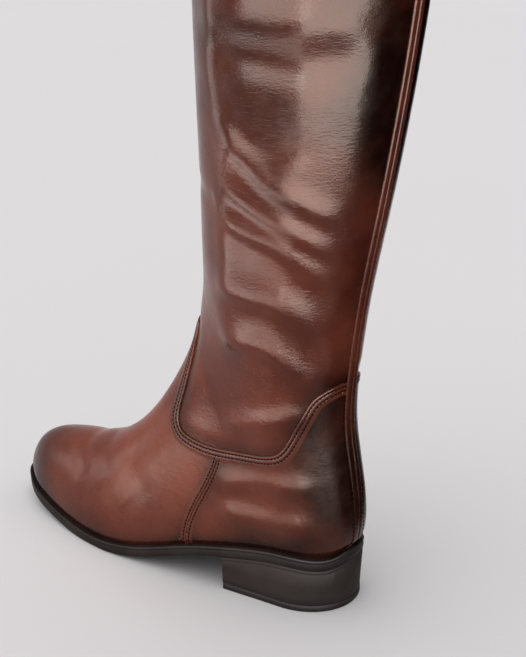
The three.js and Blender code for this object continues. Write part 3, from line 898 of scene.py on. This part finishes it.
# The lay of its plies, 0.6 mm.
twist = add(tree, "ShaderNodeTexNoise", [("Vector", place), ("Scale", 1 / 0.0006), ("Detail", 2.0)])
twisted = blended(tree, twist.outputs["Fac"], linear("#120806"), linear("#2a1510"))
tree.links.new(twisted, shader.inputs["Base Color"])
shader.inputs["Roughness"].default_value = 0.9
shader.inputs["Specular IOR Level"].default_value = 0.0

stitch_tree, given = new_tree("lockstitches", ["Pitch", "Length", "Width", "Height"])
stitch_line = add(stitch_tree, "GeometryNodeMeshToCurve", [("Mesh", given["Geometry"])])
stitch_spots = add(stitch_tree, "GeometryNodeResampleCurve", [("Curve", stitch_line.outputs[0]),
                                                              ("Length", given["Pitch"])], mode="LENGTH")
stitch_ball = add(stitch_tree, "GeometryNodeMeshUVSphere", [("Segments", 8), ("Rings", 5), ("Radius", 0.5)])
stitch_size = add(stitch_tree, "ShaderNodeCombineXYZ", [(0, given["Length"]), (1, given["Width"]),
                                                        (2, given["Height"])])
stitch_one = add(stitch_tree, "GeometryNodeTransform", [("Geometry", stitch_ball.outputs["Mesh"]),
                                                        ("Scale", stitch_size.outputs[0])])
stitch_out = add(stitch_tree, "GeometryNodeInputNamedAttribute", [("Name", "outward")],
                 data_type="FLOAT_VECTOR")
stitch_way = add(stitch_tree, "GeometryNodeInputTangent")
stitch_turn = add(stitch_tree, "FunctionNodeAxesToRotation", [
    ("Primary Axis", stitch_out.outputs["Attribute"]), ("Secondary Axis", stitch_way.outputs[0])],
                  primary_axis="Z", secondary_axis="X")
stitch_all = add(stitch_tree, "GeometryNodeInstanceOnPoints", [("Points", stitch_spots.outputs[0]),
                                                               ("Instance", stitch_one.outputs[0]),
                                                               ("Rotation", stitch_turn.outputs[0])])
end_tree(stitch_tree, stitch_all.outputs[0], given["Material"])
STITCH = {"Pitch": 0.0026, "Length": 0.0019, "Width": 0.0009, "Height": 0.0007, "Material": thread}


def row(t, theta, distance, lift):
    """A row of thread beside a path."""
    moved_t, moved_theta = moved_across(t, theta, distance)
    return leather(moved_t, moved_theta, np.full(len(t), lift)), outward(moved_t, moved_theta)


# Beside the lower back seam one row shows on each side, under a short close-set bartack.
BACK_ROW_LOW_Z, BACK_ROW_TOP_Z = 40, 136
TACK_LOW_Z, TACK_TOP_Z = 72, 84
BESIDE_STRIP = 2.05  # from the back seam to the row, as a share of the way to a strip's middle
TACK_ROWS = (-1.2, -0.7, -0.2, 0.3)
on_heel = (strip_z < BACK_ROW_TOP_Z) & (strip_z > BACK_ROW_LOW_Z)
heel_t, heel_theta = strip_t[on_heel], (1 - BESIDE_STRIP * to_middle)[on_heel]
tack = (heel_theta > 0) & (strip_z[on_heel] > TACK_LOW_Z) & (strip_z[on_heel] < TACK_TOP_Z)
heel_rows = [row(heel_t, side * heel_theta, 0.0, 0.1) for side in (1, -1)]
heel_rows += [row(heel_t[tack], heel_theta[tack], across, 0.3) for across in TACK_ROWS]
collar_row = [(collar_rim + collar_out * 0.5 + np.array([0, 0, -COLLAR_THREAD_DROP]), collar_out)]
THREAD_ROWS = {
    "stitches_top_edge": [row(edge_t[4:-4], edge_theta[4:-4], across, 0.2) for across in EDGE_ROWS],
    "stitches_side_outer": [row(side_t[2:-1], side_theta[2:-1], across, 0.2) for across in SIDE_ROWS],
    "stitches_side_inner": [row(side_t[2:-1], -side_theta[2:-1], across, 0.2) for across in SIDE_ROWS],
    "stitches_back": heel_rows,
    "stitches_gusset": [row(border_t, -border_theta, 0.9, 0.32)],
    "stitches_collar": collar_row,
}
for row_name, rows in THREAD_ROWS.items():
    stitches = grown(path_object(row_name, rows), stitch_tree, STITCH)
    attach(stitches, "root")

# ------------------------------------------------------------------------------- lining
# Pale glove leather pasted to the back of the calf, smooth side in, from the insole up to
# the collar.

LINING_DEPTH = 1.3
LINING_WALL = 0.6
LINING_LOW_ROW = 0.35
LINING_TOP_Z = 414
LINING_ROWS, LINING_COLUMNS = 170, 121
lining_leather, tree, shader = new_material("lining_leather")
# Undyed goatskin: matt, tan, faintly spotted.
place = add(tree, "ShaderNodeTexCoord").outputs["Object"]
# Spots in the tan, 12 mm across.
spots = add(tree, "ShaderNodeTexNoise", [("Vector", place), ("Scale", 1 / 0.012), ("Detail", 5.0)])
tanned = blended(tree, spots.outputs["Fac"], linear("#a37a52"), linear("#c19a72"))
tree.links.new(tanned, shader.inputs["Base Color"])
# A goat's pores lie about 0.8 mm apart, and are drawn at 1.5 mm so that they show.
pores = add(tree, "ShaderNodeTexNoise", [("Vector", place), ("Scale", 1 / 0.0015), ("Detail", 3.0)])
pitted = add(tree, "ShaderNodeBump", [
    ("Height", pores.outputs["Fac"]), ("Distance", 0.0002), ("Strength", 0.3)])
tree.links.new(pitted.outputs[0], shader.inputs["Normal"])
shader.inputs["Roughness"].default_value = 0.62

lining_t, lining_theta = np.meshgrid(np.linspace(LINING_LOW_ROW, LAST_ROW, LINING_ROWS),
                                     np.linspace(-1, 1, LINING_COLUMNS), indexing="ij")
# Under the foot it ends just above the insole.
lining_theta = lining_theta * np.where(lining_t < HEEL_ROW, 0.96, 1)
lining_points = leather(lining_t, lining_theta, np.full(lining_t.shape, -LINING_DEPTH))
lining_points[..., 2] = np.minimum(lining_points[..., 2], LINING_TOP_Z)
lining_faces = grid_faces(LINING_ROWS, LINING_COLUMNS)[:, ::-1]
lining = mesh_piece("lining", lining_points.reshape(-1, 3), lining_faces, lining_leather)
give_wall(lining, LINING_WALL)
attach(lining, "root")

# ------------------------------------------------------------------------------- insole
# A board covered with the lining leather, lying inside the upper's lower edge.

INSOLE_INSET = 3.0
INSOLE_THICKNESS = 2.2


def outline(outwards, count, from_x=None):
    """The feather edge in plan, moved outwards: outer and inner points from toe to heel."""
    share = np.linspace(0, 1, count + 1)
    t = HEEL_ROW * (1 - np.cos(np.pi * share)) / 2
    sides = []
    for side in (1, -1):
        edge = last_surface(t, np.full(len(t), float(side)))[:, :2]
        edge[-1, 1] = 0
        along = unit(np.gradient(edge, axis=0))
        along[0] = 0, side
        along[-1] = 0, -side
        moved = edge + outwards * np.stack([side * along[:, 1], -side * along[:, 0]], -1)
        if from_x is not None:
            order = moved[::-1]
            y = np.interp(from_x, order[:, 0], order[:, 1])
            moved = np.vstack([[from_x, y], moved[moved[:, 0] < from_x - 0.4]])
            length = np.concatenate([[0], np.cumsum(np.linalg.norm(np.diff(moved, axis=0), axis=1))])
            at = length[-1] * np.linspace(0, 1, count + 1)
            moved = np.stack([np.interp(at, length, moved[:, k]) for k in (0, 1)], -1)
        sides.append(moved)
    return sides


def slab(name, rings, count, across, material, from_x=None, underside=None):
    """A solid between rings of the outline, from the top one to the bottom one. Each ring is
    how far outwards it lies and its height at each x."""
    loops = []
    for outwards, height in rings:
        outer, inner = outline(outwards, count, from_x)
        loop = np.vstack([outer, inner[::-1]])
        loops.append(np.column_stack([loop, height(loop[:, 0])]))
    size = 2 * (count + 1)
    points = [np.concatenate(loops)]
    faces = []
    for ring in range(len(rings) - 1):
        a = ring * size + np.arange(size)
        b = ring * size + (np.arange(size) + 1) % size
        faces.append(np.stack([a, b, b + size, a + size], -1))
    start = len(rings) * size
    share = np.linspace(0, 1, across + 1)[None, :, None]
    for loop, (_, height), relief in ((loops[0], rings[0], None), (loops[-1], rings[-1], underside)):
        outer, inner = loop[:count + 1, None, :2], loop[:count:-1, None, :2]
        plan = outer * (1 - share) + inner * share
        z = height(plan[..., 0])
        if relief:
            from_edge = np.linalg.norm(outer - inner, axis=-1) * np.minimum(share, 1 - share)[..., 0]
            z = z + relief(plan, from_edge)
        points.append(np.concatenate([plan, z[..., None]], -1).reshape(-1, 3))
        faces.append(start + grid_faces(count + 1, across + 1))
        start += (count + 1) * (across + 1)
    return mesh_piece(name, np.concatenate(points), np.concatenate(faces), material, closed=True)


def over_seat(rise):
    """A height above the seat line, for a ring."""
    return lambda x: seat_z(x) + rise


insole_piece = slab("insole_board", [
    (-INSOLE_INSET - 2.0, over_seat(INSOLE_THICKNESS - 0.2)),
    (-INSOLE_INSET - 0.9, over_seat(INSOLE_THICKNESS)),
    (-INSOLE_INSET - 0.3, over_seat(INSOLE_THICKNESS - 0.3)),
    (-INSOLE_INSET, over_seat(INSOLE_THICKNESS - 0.9)),
    (-INSOLE_INSET, over_seat(0.1)),
], 90, 12, lining_leather)
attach(insole_piece, "root")
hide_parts("insole")

# ------------------------------------------------------------------------------ outsole
# One piece of moulded rubber, cemented on, with a raised lip along its top edge. It rises
# at the waist and the toe and runs back over the heel block.

SOLE_EDGE = 2  # how far the sole stands out past the feather edge
SOLE_THICKNESS = 7.2
GAP = 0.3


def rubber(name, dark, pale, roughness, scuff_size):
    """Moulded rubber: nearly black, satin from the mould, greyed where it is rubbed."""
    material, tree, shader = new_material(name)
    place = add(tree, "ShaderNodeTexCoord").outputs["Object"]
    # Dull patches where it is rubbed.
    dust = add(tree, "ShaderNodeTexNoise", [("Vector", place), ("Scale", 1 / scuff_size), ("Detail", 6.0)])
    worn = add(tree, "ShaderNodeMapRange", [
        ("Value", dust.outputs["Fac"]), ("From Min", 0.42), ("From Max", 0.75)])
    colour = blended(tree, worn.outputs["Result"], linear(dark), linear(pale))
    tree.links.new(colour, shader.inputs["Base Color"])
    # The mould's sandblast, 0.4 mm, drawn at 0.8 mm so that it shows.
    blast = add(tree, "ShaderNodeTexNoise", [("Vector", place), ("Scale", 1 / 0.0008), ("Detail", 2.0)])
    rough = add(tree, "ShaderNodeBump", [
        ("Height", blast.outputs["Fac"]), ("Distance", 0.00012), ("Strength", 0.35)])
    tree.links.new(rough.outputs[0], shader.inputs["Normal"])
    gloss = add(tree, "ShaderNodeMapRange", [("Value", dust.outputs["Fac"]), ("To Min", roughness - 0.06),
                                             ("To Max", roughness + 0.12)])
    tree.links.new(gloss.outputs["Result"], shader.inputs["Roughness"])
    shader.inputs["Specular IOR Level"].default_value = 0.12
    return material


SOLE_RUBBER = rubber("moulded_sole_rubber", "#1c1310", "#2c211d", 0.5, 0.03)


def sole_top(x):
    return seat_z(x) - GAP


def sole_bottom(x):
    return np.maximum(0, seat_z(x) - GAP - SOLE_THICKNESS)


def sole_height(share):
    """A height that is a share of the way from the sole's top to its bottom."""
    return lambda x: sole_top(x) + share * (sole_bottom(x) - sole_top(x))


TREAD_SPACING = 6.5
TREAD_DEPTH = 0.8
TREAD_MARGIN = 7
TREAD_BOW = 0.006  # how much the grooves curve, for each millimetre squared off the middle


def tread(plan, from_edge):
    """Shallow grooves across the ball of the sole, cut upwards from its flat face."""
    x = plan[..., 0]
    bow = x + TREAD_BOW * (plan[..., 1] - centre_y(x)) ** 2
    groove = smooth_step(0.72, 0.92, np.cos(2 * np.pi * bow / TREAD_SPACING))
    zone = smooth_step(150, 156, x) * (1 - smooth_step(250, 256, x))
    return TREAD_DEPTH * groove * zone * smooth_step(TREAD_MARGIN - 1, TREAD_MARGIN, from_edge)


outsole_piece = slab("outsole_rubber", [
    (-2.5, sole_height(0.0)),
    (SOLE_EDGE - 1.1, sole_height(0.0)),
    (SOLE_EDGE - 0.7, sole_height(-0.02)),
    (SOLE_EDGE - 0.25, sole_height(0.02)),
    (SOLE_EDGE, sole_height(0.09)),
    (SOLE_EDGE + 0.02, sole_height(0.17)),
    (SOLE_EDGE - 0.05, sole_height(0.22)),
    (SOLE_EDGE - 0.26, sole_height(0.25)),
    (SOLE_EDGE - 0.3, sole_height(0.3)),
    (SOLE_EDGE - 0.2, sole_height(0.35)),
    (SOLE_EDGE - 0.14, sole_height(0.5)),
    (SOLE_EDGE - 0.16, sole_height(0.7)),
    (SOLE_EDGE - 0.4, sole_height(0.86)),
    (SOLE_EDGE - 0.8, sole_height(0.96)),
    (SOLE_EDGE - 1.4, sole_height(1.0)),
], 260, 60, SOLE_RUBBER, underside=tread)
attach(outsole_piece, "root")
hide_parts("outsole")

# --------------------------------------------------------------------------------- heel
# A low block heel, moulded and painted to match the sole, with a fine line below the seat.

HEEL_BREAST_X = 77
HEEL_OUT = 1.4  # how far the block stands out past the feather edge at its seat
HEEL_TAPER = 1.3  # how much it draws in down to the lift
TOP_PIECE_THICKNESS = 4.2
HEEL_PAINT = rubber("painted_heel_block", "#241a16", "#2f2420", 0.6, 0.02)


def below_sole(drop):
    return lambda x: sole_bottom(x) - drop


def level(z):
    return lambda x: np.full(np.shape(x), float(z))


def round_edges(piece, radius):
    bevel = piece.modifiers.new("rounded", "BEVEL")
    bevel.width = radius * MILLIMETRE
    bevel.segments = 2
    bevel.limit_method = "ANGLE"
    bevel.angle_limit = math.radians(50)


heel_piece = slab("heel_block", [
    (HEEL_OUT - 0.3, below_sole(0.02)),
    (HEEL_OUT, below_sole(0.35)),
    (HEEL_OUT, below_sole(2.0)),
    (HEEL_OUT - 0.2, below_sole(2.15)),
    (HEEL_OUT - 0.2, below_sole(2.4)),
    (HEEL_OUT - 0.05, below_sole(2.6)),
    (HEEL_OUT - 0.55 * HEEL_TAPER, level(16)),
    (HEEL_OUT - 0.9 * HEEL_TAPER, level(9)),
    (HEEL_OUT - HEEL_TAPER, level(TOP_PIECE_THICKNESS + 0.6)),
    (HEEL_OUT - HEEL_TAPER - 0.3, level(TOP_PIECE_THICKNESS + 0.1)),
], 110, 20, HEEL_PAINT, from_x=HEEL_BREAST_X)
round_edges(heel_piece, 0.5)
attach(heel_piece, "root")
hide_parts("heel")

# ---------------------------------------------------------------------------- top piece
# The rubber lift that the heel walks on, trimmed flush with the block.

WALKING_RUBBER = rubber("walking_rubber", "#1b1412", "#2c2421", 0.58, 0.015)


LIFT_TREAD_DEPTH = 0.6


def lift_tread(plan, from_edge):
    """Fine grooves across the lift."""
    from_centre = plan[..., 0] - HEEL_CENTRE_X
    groove = smooth_step(0.7, 0.9, np.cos(2 * np.pi * from_centre / TREAD_SPACING))
    from_breast = HEEL_BREAST_X - plan[..., 0]
    return LIFT_TREAD_DEPTH * groove * smooth_step(5, 6, from_edge) * smooth_step(4, 5, from_breast)


lift_piece = slab("heel_lift", [
    (HEEL_OUT - HEEL_TAPER - 0.25, level(TOP_PIECE_THICKNESS)),
    (HEEL_OUT - HEEL_TAPER + 0.1, level(TOP_PIECE_THICKNESS - 0.35)),
    (HEEL_OUT - HEEL_TAPER + 0.1, level(0.7)),
    (HEEL_OUT - HEEL_TAPER - 0.15, level(0.2)),
    (HEEL_OUT - HEEL_TAPER - 0.7, level(0)),
], 110, 70, WALKING_RUBBER, from_x=HEEL_BREAST_X - 0.3, underside=lift_tread)
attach(lift_piece, "root")
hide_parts("heel_top_piece")

# ------------------------------------------------------------------------------- studio
# A pale floor under an even, overcast light. Softboxes that only show in the gloss stand
# near the heel side and past the toe, and a black flag stands beside the back seam.

floor_material, tree, shader = new_material("matt_painted_floor")
# Matt paint: an even warm grey with the faintest cloudiness, half a metre across.
place = add(tree, "ShaderNodeTexCoord").outputs["Object"]
cloudy = add(tree, "ShaderNodeTexNoise", [("Vector", place), ("Scale", 2.0), ("Detail", 2.0)])
painted = blended(tree, cloudy.outputs["Fac"], linear("#dcdad9"), linear("#dfdddc"))
tree.links.new(painted, shader.inputs["Base Color"])
shader.inputs["Roughness"].default_value = 0.9
shader.inputs["Specular IOR Level"].default_value = 0.0
FLOOR_HALF = 12.0
floor_mesh = bpy.data.meshes.new("floor")
floor_corners = [(x * FLOOR_HALF, y * FLOOR_HALF, 0) for x, y in ((-1, -1), (1, -1), (1, 1), (-1, 1))]
floor_mesh.from_pydata(floor_corners, [], [(0, 1, 2, 3)])
floor_mesh.materials.append(floor_material)
floor = bpy.data.objects.new("floor", floor_mesh)
bpy.context.scene.collection.objects.link(floor)

world = bpy.data.worlds.new("studio")
world.use_nodes = True
world.node_tree.nodes["Background"].inputs["Color"].default_value = linear("#f2f1f6")
world.node_tree.nodes["Background"].inputs["Strength"].default_value = 0.66
bpy.context.scene.world = world

sky_light = bpy.data.lights.new("overcast", "SUN")
sky_light.energy = 1.5
sky_light.angle = math.radians(100)
sky = bpy.data.objects.new("overcast", sky_light)
sky.rotation_euler = (math.radians(-12), math.radians(26), 0)
sky.visible_glossy = False
bpy.context.scene.collection.objects.link(sky)

SHAFT_AXIS = Vector((0.0, 0.0, 0.0))
CAMERA_AZIMUTH = math.radians(213.9)
CAMERA_ELEVATION = math.radians(20.1)
CAMERA_DISTANCE = 0.85
CAMERA_AIM = Vector((0.0298, -0.0002, 0.164))
to_camera = Vector((math.sin(CAMERA_AZIMUTH), -math.cos(CAMERA_AZIMUTH), 0))
camera_right = Vector((math.cos(CAMERA_AZIMUTH), math.sin(CAMERA_AZIMUTH), 0))


def around_shaft(degrees, distance, height):
    """A place at an angle to the camera's right, seen from the shaft."""
    turn = math.radians(degrees)
    spot = SHAFT_AXIS + distance * (math.cos(turn) * to_camera + math.sin(turn) * camera_right)
    return Vector((spot.x, spot.y, height))


def gloss_card(name, degrees, distance, low, high, width, radiance):
    """A softbox, upright, that faces the shaft and only shows in the gloss."""
    lamp = bpy.data.lights.new(name, "AREA")
    lamp.shape = "RECTANGLE"
    lamp.size, lamp.size_y = width, high - low
    lamp.energy = radiance * math.pi * width * (high - low)
    holder = bpy.data.objects.new(name, lamp)
    holder.location = around_shaft(degrees, distance, (low + high) / 2)
    inwards = SHAFT_AXIS - around_shaft(degrees, distance, 0)
    holder.rotation_euler = inwards.to_track_quat("-Z", "Y").to_euler()
    holder.visible_camera = False
    holder.visible_diffuse = False
    bpy.context.scene.collection.objects.link(holder)


gloss_card("heel_side_softbox", degrees=9, distance=0.42, low=0.06, high=0.74, width=0.58, radiance=14)
gloss_card("upper_side_softbox", degrees=-46, distance=0.46, low=0.27, high=0.74, width=0.45, radiance=11)
gloss_card("lower_side_softbox", degrees=-57, distance=0.3, low=0.03, high=0.155, width=0.43, radiance=6.5)
gloss_card("toe_side_softbox", degrees=-102, distance=0.6, low=0.1, high=0.8, width=0.2, radiance=3)

flag_material, tree, shader = new_material("black_flag")
# Black cloth, which takes the light out of what it is mirrored in.
shader.inputs["Base Color"].default_value = (0, 0, 0, 1)
shader.inputs["Specular IOR Level"].default_value = 0.0
FLAG_HALF = 0.12
FLAG_LOW, FLAG_HIGH = 0.001, 0.7
flag_middle, flag_along = around_shaft(95, 0.12, 0), around_shaft(5, FLAG_HALF, 0)
flag_corners = [flag_middle + end * flag_along + Vector((0, 0, z)) for end, z in
                ((-1, FLAG_LOW), (1, FLAG_LOW), (1, FLAG_HIGH), (-1, FLAG_HIGH))]
flag_mesh = bpy.data.meshes.new("flag")
flag_mesh.from_pydata(flag_corners, [], [(0, 1, 2, 3)])
flag_mesh.materials.append(flag_material)
flag = bpy.data.objects.new("flag", flag_mesh)
flag.visible_camera = flag.visible_diffuse = flag.visible_shadow = False
bpy.context.scene.collection.objects.link(flag)

camera_data = bpy.data.cameras.new("camera")
camera_data.lens = 77.97
camera_data.sensor_width = 36
camera = bpy.data.objects.new("camera", camera_data)
back = to_camera * math.cos(CAMERA_ELEVATION) + Vector((0, 0, math.sin(CAMERA_ELEVATION)))
camera.location = CAMERA_AIM + back * CAMERA_DISTANCE
camera.rotation_euler = (-back).to_track_quat("-Z", "Y").to_euler()
bpy.context.scene.collection.objects.link(camera)
bpy.context.scene.camera = camera
bpy.context.scene.view_settings.view_transform = "Standard"
